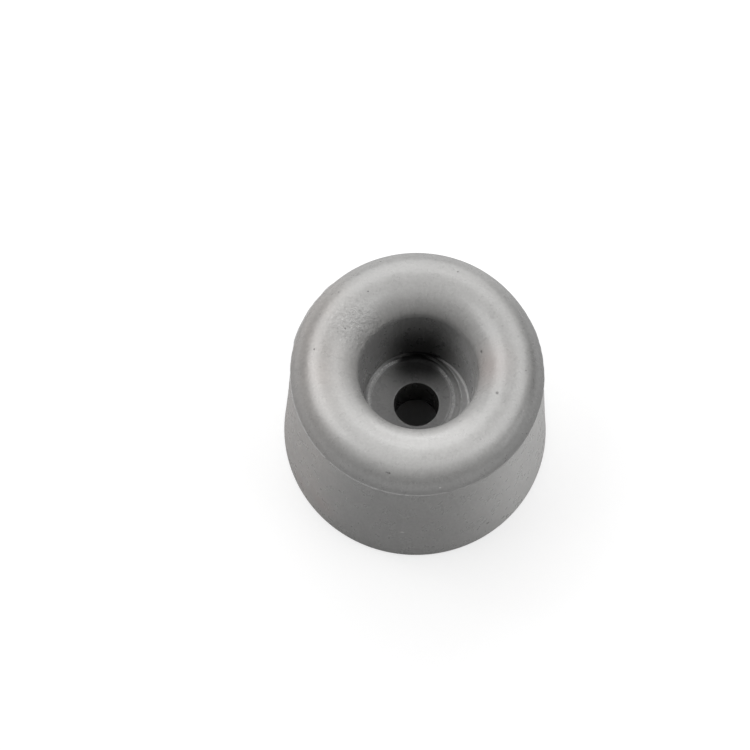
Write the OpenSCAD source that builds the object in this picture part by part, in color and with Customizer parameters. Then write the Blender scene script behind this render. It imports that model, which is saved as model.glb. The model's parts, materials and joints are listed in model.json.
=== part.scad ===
// Round moulded rubber door stop: a tapered foot with a rounded crown, a flared well that takes
// the screw and its washer, and a relief under the foot so that it seats on its outer rim.
// Millimetres. The foot stands on z = 0 and the screw hole runs along the Z axis.

/* [Body] */
// Diameter of the foot where it stands
base_d = 40; // [37:0.5:50]
// Height from the foot to the crest of the crown
height = 32.3; // [28:0.1:45]
// Diameter at the parting line, where the tapered wall meets the crown
parting_d = 36.5; // [34:0.1:39.5]
// Radius on the foot's outer edge
foot_edge_r = 0.4; // [0.2:0.1:1.5]

/* [Crown] */
// Radius of the shoulder that rises from the parting line to the crest
shoulder_r = 4.8; // [3:0.1:6]
// How far the mould flash stands out at the parting line
flash_out = 0.15; // [0.05:0.05:0.4]
// Height of the flash where it leaves the wall
flash_w = 0.4; // [0.2:0.1:1]

/* [Well] */
// Radius of the flare, which drops from the crest and ends in an edge on the well's wall
flare_r = 5; // [5:0.1:6]
// Diameter of the well at its floor
well_d = 15.9; // [14:0.1:16.4]
// Draft of the well's wall, in degrees
well_draft = 2.3; // [1:0.1:4]
// Radius in the corner between the well's wall and its floor
well_corner_r = 0.4; // [0.2:0.1:1]

/* [Washer seat] */
// Diameter of the raised bead that rings the washer's place, at its crest
bead_d = 13.3; // [11.4:0.1:14.5]
// Width of the bead where it leaves the floor
bead_w = 1.4; // [0.8:0.1:2]
// Height of the bead above the floor
bead_h = 0.3; // [0.1:0.05:0.4]
// How far the bead was moulded off the screw hole's axis
bead_offset = 1.04; // [0:0.01:1.3]
// Direction of that offset, counter-clockwise from +X
bead_offset_angle = 140; // [0:5:355]

/* [Screw hole] */
// Diameter of the hole, which clears the screw's shank
hole_d = 6.6; // [4:0.1:8]
// Radius on the hole's upper rim
hole_edge_r = 0.2; // [0.1:0.1:0.6]
// Thickness of the web that the screw clamps
web_t = 8.4; // [4:0.1:12]

/* [Foot relief] */
// Diameter of the relief where it opens under the foot
relief_d = 28; // [20:0.5:32]
// Depth of the relief
relief_depth = 4.3; // [2:0.1:6]
// How much narrower the relief's ceiling is than its mouth, on the radius
relief_taper = 0.3; // [0.1:0.1:1]
// Radius in the corner between the relief's wall and its ceiling
relief_corner_r = 1.2; // [0.5:0.1:1.8]

/* [Hidden] */
$fn = 128;

rubber = [0.67, 0.67, 0.66];
overcut = 1;

base_r = base_d / 2;
parting_r = parting_d / 2;
parting_z = height - shoulder_r;
crest_r = parting_r - shoulder_r;

floor_z = relief_depth + web_t;
well_r = well_d / 2;
well_h = height + overcut - floor_z;
well_top_r = well_r + well_h * tan(well_draft);

// The bead's section is a circular segment, whose radius follows from its width and height and whose
// root runs a little way into the floor
bead_r = (pow(bead_w / 2, 2) + pow(bead_h, 2)) / (2 * bead_h);
bead_root = 0.1;

hole_r = hole_d / 2;
relief_r = relief_d / 2;
relief_top_r = relief_r - relief_taper;

// Half section standing on z = 0: a flat foot, a quarter round of radius edge_r that ends at foot_r,
// and a straight drafted wall that reaches top_r at height h
module round_footed_section(foot_r, top_r, h, edge_r) {
    arc_x = foot_r - edge_r;
    polygon([[0, 0], [arc_x, 0], [foot_r, edge_r], [top_r, h], [0, h]]);
    translate([arc_x, edge_r]) circle(edge_r);
}

// Solid outline of the stop before any hollow: tapered wall, flash and rounded shoulder
module outer_section() {
    round_footed_section(base_r, parting_r, parting_z, foot_edge_r);
    translate([0, parting_z - overcut]) square([crest_r, shoulder_r + overcut]);
    intersection() {
        translate([crest_r, parting_z]) circle(shoulder_r);
        translate([0, parting_z - overcut]) square([parting_r, shoulder_r + overcut]);
    }
    translate([parting_r, parting_z])
        polygon([[-flash_out, -flash_w], [flash_out, 0], [-flash_out, flash_w]]);
}

// Hollow of the well: its drafted wall, carried on past the crest, and the flare that opens it out
module well_section() {
    translate([0, floor_z]) round_footed_section(well_r, well_top_r, well_h, well_corner_r);
    translate([0, height - flare_r]) difference() {
        square([crest_r, flare_r + overcut]);
        translate([crest_r, 0]) circle(flare_r);
    }
}

// Raised bead on the well's floor, which keeps the washer in its place
module seat_bead() {
    rotate(bead_offset_angle) translate([bead_offset, 0, floor_z])
        rotate_extrude() translate([bead_d / 2, 0]) intersection() {
            translate([0, bead_h - bead_r]) circle(bead_r);
            translate([-bead_w, -bead_root]) square([2 * bead_w, bead_root + overcut]);
        }
}

// Screw hole through the web, with a small round on its upper rim
module screw_hole() {
    rotate_extrude() {
        translate([0, relief_depth - overcut]) square([hole_r, web_t + 2 * overcut]);
        translate([0, floor_z - hole_edge_r]) difference() {
            square([hole_r + hole_edge_r, hole_edge_r + overcut]);
            translate([hole_r + hole_edge_r, 0]) circle(hole_edge_r);
        }
    }
}

// Relief under the foot, open downwards
module foot_relief() {
    translate([0, 0, relief_depth]) mirror([0, 0, 1]) rotate_extrude() {
        round_footed_section(relief_top_r, relief_r, relief_depth, relief_corner_r);
        translate([0, relief_depth]) square([relief_r, overcut]);
    }
}

module door_stop() {
    color(rubber) difference() {
        union() {
            difference() {
                rotate_extrude() outer_section();
                rotate_extrude() well_section();
            }
            seat_bead();
        }
        screw_hole();
        foot_relief();
    }
}

door_stop();
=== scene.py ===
"""A moulded grey rubber door stop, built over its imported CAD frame.

The visible piece is one closed mesh, swept ring by ring round the door stop's section, so that the
small faults of a real moulding can be worked into it. Lengths are in millimetres until a mesh,
lamp or camera is made. Azimuths are in degrees, counter-clockwise from +X seen from above, and the
camera looks from the side of -Y.
"""

import json
import math
from collections import namedtuple
from functools import reduce
from operator import mul

import bpy
import numpy as np
from mathutils import Matrix, Vector, noise


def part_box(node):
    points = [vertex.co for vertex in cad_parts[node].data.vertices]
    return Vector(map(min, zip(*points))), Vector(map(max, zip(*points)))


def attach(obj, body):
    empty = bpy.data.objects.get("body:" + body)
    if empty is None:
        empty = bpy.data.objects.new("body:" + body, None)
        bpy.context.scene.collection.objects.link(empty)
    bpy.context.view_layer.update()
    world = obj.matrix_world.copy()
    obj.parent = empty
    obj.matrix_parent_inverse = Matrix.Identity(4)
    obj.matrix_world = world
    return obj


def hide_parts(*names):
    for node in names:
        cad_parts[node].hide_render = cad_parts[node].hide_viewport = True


MM = 0.001                  # metres

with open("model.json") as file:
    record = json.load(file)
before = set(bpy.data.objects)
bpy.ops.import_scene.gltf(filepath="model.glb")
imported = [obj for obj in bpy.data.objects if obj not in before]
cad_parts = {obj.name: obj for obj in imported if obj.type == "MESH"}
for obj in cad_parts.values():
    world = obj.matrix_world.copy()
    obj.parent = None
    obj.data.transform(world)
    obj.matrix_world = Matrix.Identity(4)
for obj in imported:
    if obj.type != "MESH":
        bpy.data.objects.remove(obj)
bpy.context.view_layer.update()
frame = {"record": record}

# ---------------------------------------------------------------- sizes, as in the CAD section
CAD_NODE = "door_stop"
low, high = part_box(CAD_NODE)
BASE_R = (high.x - low.x) / 2 / MM
HEIGHT = high.z / MM
mount = next(m for m in frame["record"]["mounts"] if m["name"] == "screw_hole")
HOLE_R = mount["dims"]["r_mm"]

PARTING_R = 18.25
SHOULDER_R = 4.8
FOOT_EDGE_R = 0.4
FLASH_OUT = 0.15
FLARE_R = 5.0
FLOOR_Z = 12.7
WELL_R = 7.95
WELL_CORNER_R = 0.4
BEAD_R = 6.65
BEAD_HALF_W = 0.7
BEAD_H = 0.3
BEAD_OFFSET = 1.04
BEAD_OFFSET_AZIMUTH = 140
HOLE_EDGE_R = 0.2
RELIEF_DEPTH = 4.3
RELIEF_R = 14.0
RELIEF_TOP_R = 13.7
RELIEF_CORNER_R = 1.2

PARTING_Z = HEIGHT - SHOULDER_R
CREST_R = PARTING_R - SHOULDER_R
FLARE_START = 13.0          # angle of the flare's arc where it meets the well's wall
THROAT_R = CREST_R - FLARE_R * math.cos(math.radians(FLARE_START))
THROAT_Z = HEIGHT - FLARE_R + FLARE_R * math.sin(math.radians(FLARE_START))
BEAD_X = BEAD_OFFSET * math.cos(math.radians(BEAD_OFFSET_AZIMUTH))
BEAD_Y = BEAD_OFFSET * math.sin(math.radians(BEAD_OFFSET_AZIMUTH))

# ---------------------------------------------------------------- the mesh
TURNS = 440                 # points in a ring
FINE_FLOOR_R = 5.2          # the rings lie close from here out, for the bead
FINE_THROAT_H = 0.2         # and over this much of the wall under the throat
SHOULDER_END = 4            # the shoulder's arc stops at this angle, clear of the flash
FLASH_CLEAR_H = 0.28        # heights over and under the parting line: of the ring clear of the flash,
FLASH_ROOT_H = 0.16         # of the flash's root on the wall
FLASH_WAIST_H = 0.09        # and of its section halfway out
FLASH_REACH_H = 0.12        # what stands past the wall nearer the parting line than this is the flash

# ---------------------------------------------------------------- faults of the moulding
CROWN_LEAN = -0.13          # how far the upper mould half was off along X
LEAN_BLEND = 2              # how far either side of the crest the lean fades out
LEDGE_H = 0.1               # a step outside the bead, whose foot and top are this far from its crest
LEDGE_START, LEDGE_END = 0.75, 0.9
FLOOR_SLACK_R = 0.01        # the well's floor is taken to reach this much past its own radius,
FLOOR_SLACK_H = 0.1         # and this far down, since it is uneven
BLISTER_H = 0.12
THROAT_WEAR = 0.07          # how deep the throat's edge is rounded off
THROAT_WEAR_REACH = 1.1     # and how far that reaches up and down from it
THROAT_LUMP_REACH = (0.4, 1.8)
FLASH_LOST = 0.1            # share of the flash that is missing all round, and where it is trimmed
FLASH_TRIMMED = 0.5
FLASH_NICKED = 1.2          # enough to cut the nick through the flash, however little else is missing
FLASH_LOST_LIMIT = 1.5
FLASH_SWELL = 0.12          # how much more the flash stands out where it is at its widest

Lumps = namedtuple("Lumps", "depth size seed")          # size: from lump to lump
UNEVENNESS = Lumps(0.03, 9, 1)
RIPPLE = Lumps(0.012, 2.2, 2)
FLASH_RAGGED = Lumps(0.5, 3, 3)                         # depth: share of the flash
FLASH_FRAYED = Lumps(0.4, 0.8, 4)
THROAT_LUMPS = Lumps(0.20, 0.7, 5)
BEAD_LUMPS = Lumps(0.25, 0.7, 6)                        # depth: share of the bead's height

Sector = namedtuple("Sector", "azimuth full none")      # full and none: degrees to either side
FLASH_NICK = Sector(228.7, 0.5, 1.6)
FLASH_TRIM = Sector(110, 22, 24)
FLASH_WIDE = Sector(152, 16, 18)
LUMPY_THROAT = Sector(148, 12, 26)

Mark = namedtuple("Mark", "azimuth radius height size")
PITS = [                    # dark pinholes and specks of dirt
    Mark(342.1, 11.94, 32.06, 0.21), Mark(210.2, 18.20, 28.28, 0.14),
    Mark(306.6, 19.64, 5.66, 0.27), Mark(70.7, 15.20, 31.97, 0.12),
    Mark(111.8, 16.82, 30.91, 0.15), Mark(126.9, 13.02, 32.27, 0.13),
    Mark(156.4, 11.75, 31.99, 0.12), Mark(175.0, 14.96, 32.05, 0.12),
    Mark(139.3, 15.79, 31.69, 0.12), Mark(0.1, 15.49, 31.84, 0.10),
    Mark(18.7, 9.38, 30.12, 0.20),
    Mark(259.1, 16.52, 31.19, 0.17), Mark(258.2, 16.52, 31.19, 0.13),   # these three are one chip
    Mark(257.4, 16.49, 31.20, 0.09),
]
SCARS = [                   # pale spots of torn skin
    Mark(283.5, 17.88, 29.33, 0.15), Mark(267.2, 19.32, 10.65, 0.30),
]
STAINS = [                  # rust-coloured handling stains, soft at the edge
    Mark(227.2, 19.60, 6.23, 2.0), Mark(211.9, 19.77, 3.66, 1.5), Mark(4.0, 10.2, 31.0, 2.6),
]
BLISTERS = [                # raised spots on the wall of the well
    Mark(64.0, 8.30, 20.1, 0.45), Mark(80.1, 8.35, 22.9, 0.40),
]
ROUGH_PATCH = Mark(150.0, 10.9, 30.9, 3.4)

# ---------------------------------------------------------------- where the rubber changes
# An area is a tuple of edges, and a point's share of it is the product of what each edge gives:
# least where the quantity is at outside or beyond it, and 1 where it is at inside or beyond it. The
# quantities are those that Rubber works out for each point, and lengths among them are millimetres.
Edge = namedtuple("Edge", "quantity outside inside least", defaults=[0.0])


def between(quantity, start, end, soft):
    """The edges of a band from start to end, each soft wide."""
    return (Edge(quantity, start - soft, start), Edge(quantity, end + soft, end))


WALL = (Edge("height", PARTING_Z + 0.1, PARTING_Z - 0.1),)
CROWN = (Edge("height", PARTING_Z - 0.1, PARTING_Z + 0.1),)
# The wall, shoulder, crest and flare areas here carry painted light and shade, set in TONES; the warm side
# is a tint of the rubber itself.
FRONT_WALL = WALL + (Edge("y", -11, -19),)
BACK_WALL = WALL + (Edge("y", 3, 12),)
RIGHT_WALL = WALL + (Edge("x", 2, 18),)
WARM_SIDE = (Edge("x", -8, -17), Edge("clouds", 0.3, 0.7, 0.5))
SHOULDER = CROWN + (Edge("radius", 14.8, 16.8),)
RIGHT_SHOULDER = SHOULDER + (Edge("x", 8, 18),)
FRONT_CREST = (Edge("height", 30.0, 31.5), Edge("frontward", 2, 11))
BACK_LEFT_FLARE = (Edge("radius", 11.2, 9.2), Edge("back_leftward", -7, 3))
# Painted highlight on the flash at the parting line, full on the left and a fifth as strong on the right.
FLASH = between("height", PARTING_Z - 0.02, PARTING_Z + 0.2, 0.05) + (
    Edge("radius", PARTING_R - 0.45, PARTING_R - 0.25), Edge("x", 14, -4, 0.2))

WELL_DROP_H = 11.4          # on the right the well's painted shade starts this much lower, over this area
WELL_WANDER_H = 1.2         # and everywhere it wanders up and down by this much
WELL_DROP = (Edge("y", 8, -2), Edge("x", 2, 5))
# The well, given a darker colour from under the throat down to its floor: painted shade.
SHADED_WELL = (Edge("radius", 9.6, 9.2), Edge("well_height", THROAT_Z + 0.7, THROAT_Z - 1.0),
        Edge("height", FLOOR_Z - 0.5, FLOOR_Z - 0.2))
# Painted light on the right of the well.
RIGHT_WELL = SHADED_WELL + (Edge("x", 4, 8),)
# Painted shade at the back of the well, deepest low down, and blackest in the corner at the back of its
# floor.
BACK_WELL_SHADE = SHADED_WELL + (Edge("y", 1.8, 5.8), Edge("sideways", 6.5, 1.5), Edge("height", 31, 16))
BACK_CORNER_SHADE = BACK_WELL_SHADE + (Edge("radius", 6.8, 7.1), Edge("height", FLOOR_Z + 0.9, FLOOR_Z + 0.5))
# The hole, given a dark colour: painted shade.
HOLE = (Edge("radius", HOLE_R + 0.15, HOLE_R + 0.05), Edge("height", FLOOR_Z, FLOOR_Z - 0.3))

SEAT = (Edge("radius", WELL_R + 0.15, WELL_R + 0.05), Edge("height", FLOOR_Z + 0.6, FLOOR_Z + 0.4),
        Edge("height", FLOOR_Z - 0.15, FLOOR_Z - 0.05))
# Painted light on the left of the well's floor.
LEFT_SEAT = SEAT + (Edge("x", -0.5, -5),)
# Painted shade just outside the bead on the left.
LEFT_OF_BEAD = SEAT + (Edge("x", -0.5, -3), Edge("from_bead", 0, 0.25))
RIGHT_SEAT = SEAT + (Edge("x", 0.5, 3),)
# Painted light on the bead's outer slope on the right.
RIGHT_OF_BEAD = RIGHT_SEAT + between("from_bead", 0.25, 0.6, 0.12)
CRUMBLY = (0.42, 0.62)      # the noise called crumbling is cut to a pattern between these
SIDES = (Edge("sideways", 2.5, 4.2),)
# Painted highlight in the corner at the foot of the well's right wall.
RIGHT_CORNER = RIGHT_SEAT + SIDES + between("radius", WELL_R - 0.23, WELL_R - 0.05, 0.08)
# Painted highlight on the bead's inner slope, broken up by the crumbling.
BEAD_HIGHLIGHT = SEAT + SIDES + between("from_bead", -0.52, -0.18, 0.10) + (Edge("crumbling", *CRUMBLY, 0.4),)
POLISHED_BEAD = BEAD_HIGHLIGHT + (Edge("x", 0.5, 3),)

IN_PIT = (Edge("to_pit", 1.4, 0.6),)
IN_SCAR = (Edge("to_scar", 1.4, 0.6),)
IN_STAIN = (Edge("to_stain", 2, 0),)
IN_PATCH = (Edge("to_patch", 1.714, 0.286),)
IN_SPECK = (Edge("to_speck", 0.07, 0.03), Edge("speck_number", 0.88, 0.92))
IN_CRUMB = IN_PATCH + (Edge("to_crumb", 0.28, 0.14),)
PALE_CRUMB = IN_CRUMB + (Edge("crumb_number", 0.70, 0.76),)
DARK_CRUMB = IN_CRUMB + (Edge("crumb_number", 0.30, 0.24),)
FLOW_AREA = (Edge("radius", 13, 10.5, 0.3125),)

# ---------------------------------------------------------------- how the rubber looks there
FRONTWARD = (-0.2, -0.98, 0)        # the quantities of these names are measured along them
BACK_LEFTWARD = (-0.7, 0.7, 0)

Noise = namedtuple("Noise", "size detail roughness squash")     # squash: share of the height counted
NOISES = {
    "clouds": Noise(7, 2, 0.5, 1),
    "mottle": Noise(1.6, 2, 0.6, 0.5),
    "grain": Noise(0.4, 1.5, 0.6, 0.35),
    "coarse": Noise(0.6, 2, 0.7, 1),
    "crumbling": Noise(0.22, 2, 0.7, 1),
}
FLOW_SIZE = 0.35            # size of the noise in the lines that the rubber left as it flowed,
FLOW_AROUND = 9             # how many millimetres of noise a radius counts for as they go round
FLOW_ALONG = (0.05, 0.05, 0.10)     # and what is left of the noise along them
SPECK_SPACING = 1.9
CRUMB_SPACING = 0.75

GREY = (0.44, 0.436, 0.428, 1)
DARK_GREY = (0.20, 0.195, 0.19, 1)

Coat = namedtuple("Coat", "area share colour")
COATS = [                   # laid over the grey in this order, before the tone is changed
    Coat(WARM_SIDE, 1.0, (0.465, 0.435, 0.415, 1)),
    # painted shade down the well
    Coat(SHADED_WELL, 1.0, (0.36, 0.358, 0.356, 1)),
    # painted shade at the back of the well, blackest in the corner at its floor
    Coat(BACK_WELL_SHADE, 1.0, (0.065, 0.065, 0.065, 1)),
    Coat(BACK_CORNER_SHADE, 1.0, (0.012, 0.012, 0.012, 1)),
    # painted shade in the hole
    Coat(HOLE, 1.0, (0.10, 0.098, 0.095, 1)),
    # painted light on the bead's outer slope on the right
    Coat(RIGHT_OF_BEAD, 0.5, (0.50, 0.495, 0.49, 1)),
    # painted shade outside the bead on the left
    Coat(LEFT_OF_BEAD, 0.7, (0.16, 0.158, 0.156, 1)),
    # painted highlight on the bead's inner slope
    Coat(BEAD_HIGHLIGHT, 0.9, (0.90, 0.895, 0.89, 1)),
    # painted highlight in the corner at the foot of the well's right wall
    Coat(RIGHT_CORNER, 0.8, (0.65, 0.645, 0.64, 1)),
    # painted highlight on the flash
    Coat(FLASH, 0.8, (0.72, 0.715, 0.71, 1)),
]
# Painted light and shade, all of them: painted light on the front of the crest, on the right of the wall and
# of the well, and on the left of the well's floor; painted shade on the back-left of the flare, on the
# shoulder, more on its right, and on the front and back of the wall.
TONES = [                   # what is added to the tone, which is 1 on plain rubber
    (FRONT_CREST, 0.19), (BACK_LEFT_FLARE, -0.18), (SHOULDER, -0.36), (RIGHT_SHOULDER, -0.21),
    (FRONT_WALL, -0.30), (BACK_WALL, -0.25), (RIGHT_WALL, 0.40), (RIGHT_WELL, 0.38), (LEFT_SEAT, 0.5),
]
MARKINGS = [                # laid over the toned rubber
    Coat(IN_STAIN, 0.45, (0.40, 0.33, 0.31, 1)),
    Coat(PALE_CRUMB, 0.8, (0.66, 0.65, 0.64, 1)),
    Coat(DARK_CRUMB, 0.5, DARK_GREY),
    Coat(IN_SCAR, 0.7, (0.70, 0.69, 0.68, 1)),
    Coat(IN_SPECK, 0.45, DARK_GREY),
    Coat(IN_PIT, 0.7, (0.09, 0.088, 0.086, 1)),
]

Swing = namedtuple("Swing", "noise width area", defaults=[()])
TONE_SWINGS = [             # noises in the tone, from their lowest to their highest
    Swing("clouds", 0.12), Swing("mottle", 0.08), Swing("grain", 0.30),
    Swing("flow", 0.16, FLOW_AREA), Swing("coarse", 0.5, IN_PATCH),
]
RELIEF_SWINGS = [           # and in the height of the surface
    Swing("mottle", 0.02), Swing("grain", 0.012),
    Swing("coarse", 0.28, IN_PATCH), Swing("crumbly", 0.10, BEAD_HIGHLIGHT),
]
PIT_DEPTH = 0.05

ROUGHNESS = (0.26, 0.35)    # of the skin, where the mottle is at the first and at the second of these
ROUGHNESS_MOTTLE = (0.3, 0.7)
PATCH_ROUGHNESS = 0.12      # what the rough patch adds
GLOSS = 0.85
SHADE_DULLING = 0.75
POLISH = 0.9


# ---------------------------------------------------------------- the moulding's shape
def add_door_stop():
    """The whole moulding as one closed mesh of rings."""
    rings = section()
    points, normals = revolved(rings)
    points += normals * lift(points)[..., None]
    points[..., 2] += floor_relief(points)
    points[..., 0] += lean(points)
    mesh = bpy.data.meshes.new("door_stop_moulding")
    mesh.from_pydata((points.reshape(-1, 3) * MM).tolist(), [], ring_faces(len(rings)))
    mesh.shade_smooth()
    piece = bpy.data.objects.new("door_stop_moulding", mesh)
    bpy.context.scene.collection.objects.link(piece)
    return piece


def line(start, end, steps):
    """Points from start up to, and not with, end."""
    along = np.linspace(0, 1, steps, endpoint=False)[:, None]
    return np.array(start) * (1 - along) + np.array(end) * along


def arc(centre, radius, start, end, steps):
    """Points round centre from the angle start up to, and not with, the angle end."""
    angle = np.radians(np.linspace(start, end, steps, endpoint=False))
    return np.stack([centre[0] + radius * np.cos(angle), centre[1] + radius * np.sin(angle)], axis=-1)


def section():
    """The closed half section, as rows of radius and height, walked with the rubber on its right."""
    return np.concatenate([
        line((HOLE_R, RELIEF_DEPTH), (HOLE_R, FLOOR_Z - HOLE_EDGE_R), 12),
        arc((HOLE_R + HOLE_EDGE_R, FLOOR_Z - HOLE_EDGE_R), HOLE_EDGE_R, 180, 90, 4),
        line((HOLE_R + HOLE_EDGE_R, FLOOR_Z), (FINE_FLOOR_R, FLOOR_Z), 6),
        line((FINE_FLOOR_R, FLOOR_Z), (WELL_R - WELL_CORNER_R, FLOOR_Z), 26),
        arc((WELL_R - WELL_CORNER_R, FLOOR_Z + WELL_CORNER_R), WELL_CORNER_R, -90, 0, 5),
        line((WELL_R, FLOOR_Z + WELL_CORNER_R), (THROAT_R, THROAT_Z - FINE_THROAT_H), 34),
        line((THROAT_R, THROAT_Z - FINE_THROAT_H), (THROAT_R, THROAT_Z), 3),
        arc((CREST_R, HEIGHT - FLARE_R), FLARE_R, 180 - FLARE_START, 90, 28),
        arc((CREST_R, PARTING_Z), SHOULDER_R, 90, SHOULDER_END, 26),
        line((PARTING_R, PARTING_Z + FLASH_CLEAR_H), (PARTING_R, PARTING_Z + FLASH_ROOT_H), 2),
        line((PARTING_R + FLASH_OUT / 2, PARTING_Z + FLASH_WAIST_H), (PARTING_R + FLASH_OUT, PARTING_Z), 2),
        line((PARTING_R + FLASH_OUT, PARTING_Z), (PARTING_R + FLASH_OUT / 2, PARTING_Z - FLASH_WAIST_H), 2),
        line((PARTING_R, PARTING_Z - FLASH_ROOT_H), (PARTING_R, PARTING_Z - FLASH_CLEAR_H), 2),
        line((PARTING_R, PARTING_Z - FLASH_CLEAR_H), (BASE_R, FOOT_EDGE_R), 48),
        arc((BASE_R - FOOT_EDGE_R, FOOT_EDGE_R), FOOT_EDGE_R, 0, -90, 5),
        line((BASE_R - FOOT_EDGE_R, 0), (RELIEF_R, 0), 4),
        line((RELIEF_R, 0), (RELIEF_TOP_R, RELIEF_DEPTH - RELIEF_CORNER_R), 5),
        arc((RELIEF_TOP_R - RELIEF_CORNER_R, RELIEF_DEPTH - RELIEF_CORNER_R), RELIEF_CORNER_R, 0, 90, 5),
        line((RELIEF_TOP_R - RELIEF_CORNER_R, RELIEF_DEPTH), (HOLE_R, RELIEF_DEPTH), 7),
    ])


def revolved(rings):
    """The rings' points and outward normals before any fault, as arrays of ring by turn."""
    angle = np.linspace(0, 2 * math.pi, TURNS, endpoint=False)
    across = np.roll(rings, -1, axis=0) - np.roll(rings, 1, axis=0)
    across /= np.linalg.norm(across, axis=1)[:, None]

    def turned(radial, vertical):
        return np.stack([radial[:, None] * np.cos(angle), radial[:, None] * np.sin(angle),
                         vertical[:, None] + 0 * angle], axis=-1)

    return turned(rings[:, 0], rings[:, 1]), turned(-across[:, 1], across[:, 0])


def ring_faces(rings):
    """Quads between neighbouring rings, the last ring joined to the first."""
    ring, turn = np.meshgrid(np.arange(rings), np.arange(TURNS), indexing="ij")
    next_ring, next_turn = (ring + 1) % rings, (turn + 1) % TURNS
    corners = [ring * TURNS + turn, next_ring * TURNS + turn,
               next_ring * TURNS + next_turn, ring * TURNS + next_turn]
    return np.stack(corners, axis=-1).reshape(-1, 4).tolist()


def ease(value, start, end):
    """Runs from 0 at start to 1 at end, smoothly."""
    share = np.clip((value - start) / (end - start), 0, 1)
    return share * share * (3 - 2 * share)


def lumpiness(points, lumps):
    """Smooth noise at each point, from about -depth to depth."""
    shift = lumps.seed * Vector((1, 2.3, 3.7))
    flat = [noise.noise(Vector(point) / lumps.size + shift) for point in points.reshape(-1, 3)]
    return lumps.depth * np.array(flat).reshape(points.shape[:-1])


def within(points, sector):
    """Runs from 1 in the middle of a sector to 0 outside it."""
    azimuth = np.degrees(np.arctan2(points[..., 1], points[..., 0]))
    gap = np.abs((azimuth - sector.azimuth + 180) % 360 - 180)
    return 1 - ease(gap, sector.full, sector.none)


def lean(points):
    """How far the upper mould half stood off the axis, along X."""
    radius, height = np.hypot(points[..., 0], points[..., 1]), points[..., 2]
    return CROWN_LEAN * ease(height, 0, PARTING_Z) * ease(radius, CREST_R - LEAN_BLEND, CREST_R + LEAN_BLEND)


def mark_point(mark):
    """Where a mark is on the leaning surface."""
    angle = math.radians(mark.azimuth)
    point = np.array([mark.radius * math.cos(angle), mark.radius * math.sin(angle), mark.height])
    point[0] += lean(point)
    return point


def lift(points):
    """How far each point stands out from the nominal surface."""
    radius, height = np.hypot(points[..., 0], points[..., 1]), points[..., 2]
    out = np.zeros(radius.shape)
    for lumps in (UNEVENNESS, RIPPLE):
        out += (lumpiness(points, lumps) - lumps.depth) * ease(height, 0, 1)

    flash = (radius > PARTING_R) & (np.abs(height - PARTING_Z) < FLASH_REACH_H)
    lost = FLASH_LOST + lumpiness(points, FLASH_RAGGED) + lumpiness(points, FLASH_FRAYED)
    lost += FLASH_TRIMMED * within(points, FLASH_TRIM) + FLASH_NICKED * within(points, FLASH_NICK)
    out -= flash * FLASH_OUT * np.clip(lost, 0, FLASH_LOST_LIMIT)
    out += flash * FLASH_SWELL * within(points, FLASH_WIDE)

    for blister in BLISTERS:
        distance = np.linalg.norm(points - mark_point(blister), axis=-1)
        out += BLISTER_H * np.exp(-(distance / blister.size) ** 2)

    from_throat = np.where(radius < CREST_R, np.abs(height - THROAT_Z), np.inf)
    lumpy = within(points, LUMPY_THROAT) * (1 - ease(from_throat, *THROAT_LUMP_REACH))
    out += lumpy * lumpiness(points, THROAT_LUMPS)
    out -= THROAT_WEAR * (1 - np.clip(from_throat / THROAT_WEAR_REACH, 0, 1)) ** 2
    return out


def floor_relief(points):
    """Height of the washer seat's bead and of the ledge outside it, over the well's floor."""
    radius, height = np.hypot(points[..., 0], points[..., 1]), points[..., 2]
    from_bead = np.hypot(points[..., 0] - BEAD_X, points[..., 1] - BEAD_Y) - BEAD_R
    bead = BEAD_H * np.clip(1 - (from_bead / BEAD_HALF_W) ** 2, 0, 1)
    bead *= 1 + lumpiness(points, BEAD_LUMPS)
    ledge = LEDGE_H * ease(from_bead, LEDGE_START, LEDGE_END)
    on_floor = (radius > HOLE_R + HOLE_EDGE_R) & (radius < WELL_R + FLOOR_SLACK_R)
    on_floor &= height > FLOOR_Z - FLOOR_SLACK_H
    return on_floor * np.maximum(bead, ledge) * (1 - ease(height, FLOOR_Z, FLOOR_Z + WELL_CORNER_R))


# ---------------------------------------------------------------- materials made of nodes
class Field:
    """A value that varies over a surface: a node's output, which sums and products carry on."""

    def __init__(self, graph, socket):
        self.graph = graph
        self.socket = socket

    def __add__(self, other):
        return self.graph.math("ADD", self, other)

    def __sub__(self, other):
        return self.graph.math("SUBTRACT", self, other)

    def __rsub__(self, other):
        return self.graph.math("SUBTRACT", other, self)

    def __mul__(self, other):
        return self.graph.math("MULTIPLY", self, other)

    def __truediv__(self, other):
        return self.graph.math("DIVIDE", self, other)

    __radd__ = __add__
    __rmul__ = __mul__


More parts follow.
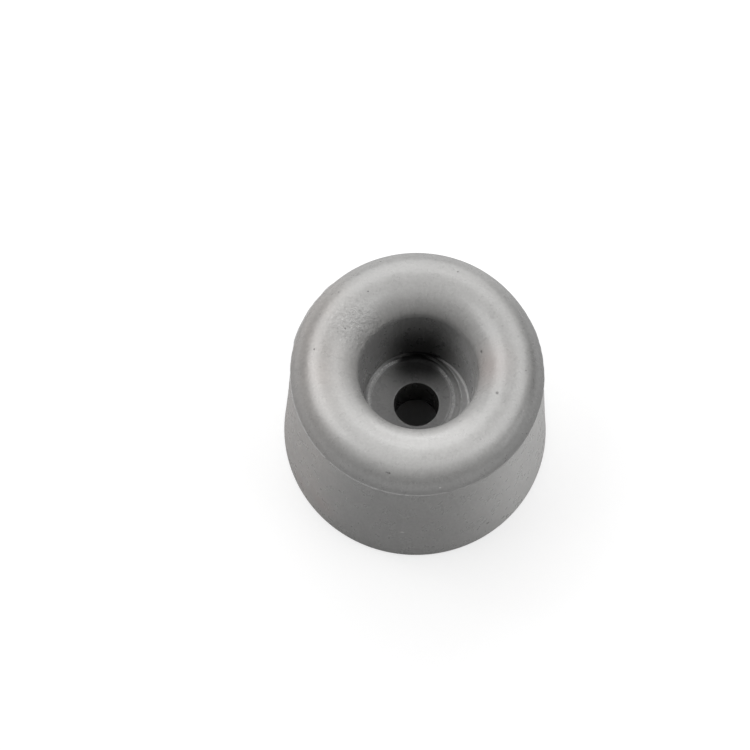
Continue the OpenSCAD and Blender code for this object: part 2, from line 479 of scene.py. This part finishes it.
class Graph:
    """Makes a material's nodes. A value that is a field is linked, and any other is set."""

    def __init__(self, name):
        self.material = bpy.data.materials.new(name)
        self.material.use_nodes = True
        self.tree = self.material.node_tree
        self.shader = self.tree.nodes["Principled BSDF"]

    def put(self, value, socket):
        if isinstance(value, Field):
            self.tree.links.new(value.socket, socket)
        else:
            socket.default_value = value

    def shade(self, **settings):
        """Sets the shader's own inputs, whose names have spaces for underscores."""
        for name, value in settings.items():
            self.put(value, self.shader.inputs[name.replace("_", " ")])

    def node(self, kind, values=()):
        """A new node, with values for its inputs in their order."""
        node = self.tree.nodes.new(kind)
        for value, socket in zip(values, node.inputs):
            self.put(value, socket)
        return node

    def outputs(self, node, *names):
        return [Field(self, node.outputs[name]) for name in names]

    def math(self, operation, *values):
        node = self.node("ShaderNodeMath", values)
        node.operation = operation
        return Field(self, node.outputs[0])

    def vector(self, operation, *values):
        """Sums on vectors, which here are a point or its differences from another."""
        node = self.node("ShaderNodeVectorMath", values)
        node.operation = operation
        is_number = operation in ("LENGTH", "DISTANCE", "DOT_PRODUCT")
        return Field(self, node.outputs["Value" if is_number else "Vector"])

    def scaled(self, vector, scale):
        result = self.vector("SCALE", vector)
        self.put(scale, result.socket.node.inputs["Scale"])
        return result

    def ramp(self, value, start, end, at_start=0.0, at_end=1.0):
        """Runs smoothly from at_start where value is start to at_end where it is end."""
        node = self.node("ShaderNodeMapRange", (value, start, end, at_start, at_end))
        node.interpolation_type = "SMOOTHSTEP"
        return Field(self, node.outputs["Result"])

    def noise(self, point, size, detail=2.0, roughness=0.5):
        """Noise from 0 to 1 with its mean at a half, size millimetres from lump to lump."""
        node = self.node("ShaderNodeTexNoise")
        self.put(point, node.inputs["Vector"])
        node.inputs["Scale"].default_value = 1 / size
        node.inputs["Detail"].default_value = detail
        node.inputs["Roughness"].default_value = roughness
        return Field(self, node.outputs["Fac"])

    def cells(self, point, size):
        """Distance to the nearest of a scatter of dots, in cell widths, and a random number a dot."""
        node = self.node("ShaderNodeTexVoronoi")
        self.put(point, node.inputs["Vector"])
        node.inputs["Scale"].default_value = 1 / size
        distance, colour = self.outputs(node, "Distance", "Color")
        number, = self.outputs(self.node("ShaderNodeSeparateColor", [colour]), "Red")
        return distance, number

    def nearest(self, point, marks):
        """How far off the nearest of the marks is, in that mark's own sizes."""
        distances = [self.vector("DISTANCE", point, mark_point(mark).tolist()) / mark.size for mark in marks]
        return reduce(lambda one, other: self.math("MINIMUM", one, other), distances)

    def mix(self, share, first, second):
        """Runs from the first colour where the share is 0 to the second where it is 1."""
        node = self.node("ShaderNodeMix")
        node.data_type = "RGBA"
        self.put(share, node.inputs["Factor"])
        first_colour, second_colour = [socket for socket in node.inputs if socket.type == "RGBA"]
        self.put(first, first_colour)
        self.put(second, second_colour)
        return Field(self, next(socket for socket in node.outputs if socket.type == "RGBA"))


class Rubber(Graph):
    """Grey rubber: mottled and grainy, with pits, specks, stains and painted light and shade."""

    def __init__(self):
        super().__init__("grey_rubber")
        coordinates, = self.outputs(self.node("ShaderNodeTexCoord"), "Object")
        point = self.scaled(coordinates, 1 / MM)
        x, y, height = self.outputs(self.node("ShaderNodeSeparateXYZ", [point]), *"XYZ")
        flat = self.vector("MULTIPLY", point, (1, 1, 0))
        self.quantities = {
            "x": x, "y": y, "height": height,
            "sideways": self.math("ABSOLUTE", x),
            "frontward": self.vector("DOT_PRODUCT", point, FRONTWARD),
            "back_leftward": self.vector("DOT_PRODUCT", point, BACK_LEFTWARD),
            "radius": self.vector("LENGTH", flat),
            "from_bead": self.vector("DISTANCE", flat, (BEAD_X, BEAD_Y, 0)) - BEAD_R,
            "flow": self.flow(point, flat),
            "to_pit": self.nearest(point, PITS),
            "to_scar": self.nearest(point, SCARS),
            "to_stain": self.nearest(point, STAINS),
            "to_patch": self.nearest(point, [ROUGH_PATCH]),
        }
        for name, kind in NOISES.items():
            squashed = self.vector("MULTIPLY", point, (1, 1, kind.squash))
            self.quantities[name] = self.noise(squashed, kind.size, kind.detail, kind.roughness)
        for name, spacing in (("speck", SPECK_SPACING), ("crumb", CRUMB_SPACING)):
            distance, number = self.cells(point, spacing)
            self.quantities.update({"to_" + name: distance, name + "_number": number})
        self.quantities["crumbly"] = self.ramp(self.quantities["crumbling"], *CRUMBLY)
        wander = WELL_WANDER_H * (self.quantities["mottle"] - 0.5)
        self.quantities["well_height"] = height + WELL_DROP_H * self.share(WELL_DROP) + wander

    def flow(self, point, flat):
        """Noise drawn out along the section, so that it makes lines up and down it."""
        around = self.scaled(self.vector("NORMALIZE", flat), FLOW_AROUND)
        along = self.vector("MULTIPLY", point, FLOW_ALONG)
        return self.noise(self.vector("ADD", around, along), FLOW_SIZE)

    def share(self, area):
        """How far a point is inside all the edges of an area, from 0 to 1."""
        crossed = [self.ramp(self.quantities[edge.quantity], edge.outside, edge.inside, edge.least)
                   for edge in area]
        return reduce(mul, crossed, 1)

    def swings(self, swings):
        """The sum of some noises, each turned into a swing about 0 in its area."""
        return sum((self.quantities[swing.noise] - 0.5) * swing.width * self.share(swing.area)
                   for swing in swings)

    def coated(self, colour, coats):
        for coat in coats:
            colour = self.mix(coat.share * self.share(coat.area), colour, coat.colour)
        return colour

    def colour(self):
        tone = 1 + self.swings(TONE_SWINGS) + sum(change * self.share(area) for area, change in TONES)
        return self.coated(self.scaled(self.coated(GREY, COATS), tone), MARKINGS)

    def roughness(self):
        skin = self.ramp(self.quantities["mottle"], *ROUGHNESS_MOTTLE, *ROUGHNESS)
        return skin + PATCH_ROUGHNESS * self.share(IN_PATCH)

    def gloss(self):
        """Duller in the back of the well's painted shade and in the hole, shinier under the bead's painted
        highlight.
        """
        dull = self.math("MAXIMUM", self.share(BACK_WELL_SHADE), self.share(HOLE))
        return GLOSS - SHADE_DULLING * dull + POLISH * self.share(POLISHED_BEAD)

    def bumped_normal(self):
        bump = self.node("ShaderNodeBump")
        bump.inputs["Distance"].default_value = MM
        self.put(self.swings(RELIEF_SWINGS) - PIT_DEPTH * self.share(IN_PIT), bump.inputs["Height"])
        return Field(self, bump.outputs["Normal"])


def rubber():
    graph = Rubber()
    graph.shade(Base_Color=graph.colour(), Roughness=graph.roughness(),
                Specular_IOR_Level=graph.gloss(), Normal=graph.bumped_normal())
    return graph.material


# ---------------------------------------------------------------- the studio
FLOOR_SIZE = 6              # metres
FLOOR_GREY = 0.5
FLOOR_GLOW = 0.6            # with what the lamps add, this makes the floor white
SEEN_FROM = (15, 18)        # the camera sees the glow from this far out, so the hole looks down on dark
MIRRORED_FROM = (30, 90)    # and reflections from this far, so the foot of the wall stays dark

CAMERA_STAND = (0, -129.96, 430.82)
CAMERA_AIM = (-6.613, 8.247, 0)
CAMERA_ROLL = 0.672         # degrees
CAMERA_LENS = 141.11
CAMERA_SENSOR = 36
CAMERA_CLIP = 10            # nothing nearer than this is seen

Softbox = namedtuple("Softbox", "name azimuth elevation width height radiance")
SOFTBOXES = [               # sizes in metres, angles in degrees
    Softbox("softbox_right", 357, 52, 0.46, 0.50, 1.59),
    Softbox("softbox_left", 176, 52, 0.46, 0.50, 2.19),
    Softbox("softbox_back_left", 122, 46, 0.80, 0.42, 1.66),
    Softbox("softbox_back_right", 55, 48, 0.50, 0.36, 1.05),
    Softbox("softbox_low", 95, 15, 0.80, 0.24, 1.92),
    Softbox("softbox_low_right", 345, 12, 0.40, 0.22, 1.99),
]
SOFTBOX_DISTANCE = 0.7      # metres
WORLD_STRENGTH = 0.26


def add_floor():
    """A pale floor that the camera and reflections see as white, with the object's shadow on it."""
    bpy.ops.mesh.primitive_plane_add(size=FLOOR_SIZE)
    floor = bpy.context.object
    floor.name = "floor"
    g = Graph("floor")
    coordinates, = g.outputs(g.node("ShaderNodeTexCoord"), "Object")
    from_middle = g.vector("LENGTH", g.scaled(coordinates, 1 / MM))
    camera, glossy, through = g.outputs(
        g.node("ShaderNodeLightPath"), "Is Camera Ray", "Is Glossy Ray", "Is Transmission Ray")
    seen = camera * g.ramp(from_middle, *SEEN_FROM)
    mirrored = g.math("MAXIMUM", glossy, through) * g.ramp(from_middle, *MIRRORED_FROM)
    g.shade(Base_Color=(FLOOR_GREY, FLOOR_GREY, FLOOR_GREY, 1), Roughness=1, Specular_IOR_Level=0,
            Emission_Color=(1, 1, 1, 1), Emission_Strength=FLOOR_GLOW * g.math("MAXIMUM", seen, mirrored))
    g.material.cycles.emission_sampling = "NONE"
    floor.data.materials.append(g.material)


def add_camera():
    """The photograph's view: from the front and high up, through a long lens."""
    camera = bpy.data.objects.new("camera", bpy.data.cameras.new("camera"))
    bpy.context.scene.collection.objects.link(camera)
    stand, aim = Vector(CAMERA_STAND) * MM, Vector(CAMERA_AIM) * MM
    facing = (stand - aim).to_track_quat("Z", "Y").to_matrix()
    rolled = facing @ Matrix.Rotation(math.radians(CAMERA_ROLL), 3, "Z")
    camera.matrix_world = Matrix.Translation(stand) @ rolled.to_4x4()
    camera.data.sensor_width = CAMERA_SENSOR
    camera.data.lens = CAMERA_LENS
    camera.data.clip_start = CAMERA_CLIP * MM
    bpy.context.scene.camera = camera


def add_softbox(box):
    """A soft lamp of even radiance, turned to the object."""
    data = bpy.data.lights.new(box.name, "AREA")
    data.shape = "RECTANGLE"
    data.size, data.size_y = box.width, box.height
    data.energy = math.pi * box.radiance * box.width * box.height
    lamp = bpy.data.objects.new(box.name, data)
    azimuth, elevation = math.radians(box.azimuth), math.radians(box.elevation)
    toward = Vector((math.cos(elevation) * math.cos(azimuth), math.cos(elevation) * math.sin(azimuth),
                     math.sin(elevation)))
    lamp.location = toward * SOFTBOX_DISTANCE + Vector((0, 0, HEIGHT / 2 * MM))
    lamp.rotation_euler = toward.to_track_quat("Z", "Y").to_euler()
    lamp.visible_camera = False
    bpy.context.scene.collection.objects.link(lamp)


def add_world():
    """An even sky of WORLD_STRENGTH, which the camera sees as white."""
    world = bpy.data.worlds.new("world")
    world.use_nodes = True
    nodes, links = world.node_tree.nodes, world.node_tree.links
    background = nodes["Background"]
    background.inputs["Color"].default_value = (1, 1, 1, 1)
    rays = nodes.new("ShaderNodeLightPath").outputs
    pick = nodes.new("ShaderNodeMapRange")
    links.new(rays["Is Camera Ray"], pick.inputs["Value"])
    pick.inputs["To Min"].default_value = WORLD_STRENGTH
    pick.inputs["To Max"].default_value = 1
    links.new(pick.outputs["Result"], background.inputs["Strength"])
    bpy.context.scene.world = world


stop = add_door_stop()
stop.data.materials.append(rubber())
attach(stop, "root")
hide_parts(CAD_NODE)
add_floor()
add_camera()
for softbox in SOFTBOXES:
    add_softbox(softbox)
add_world()
bpy.context.scene.view_settings.view_transform = "Standard"
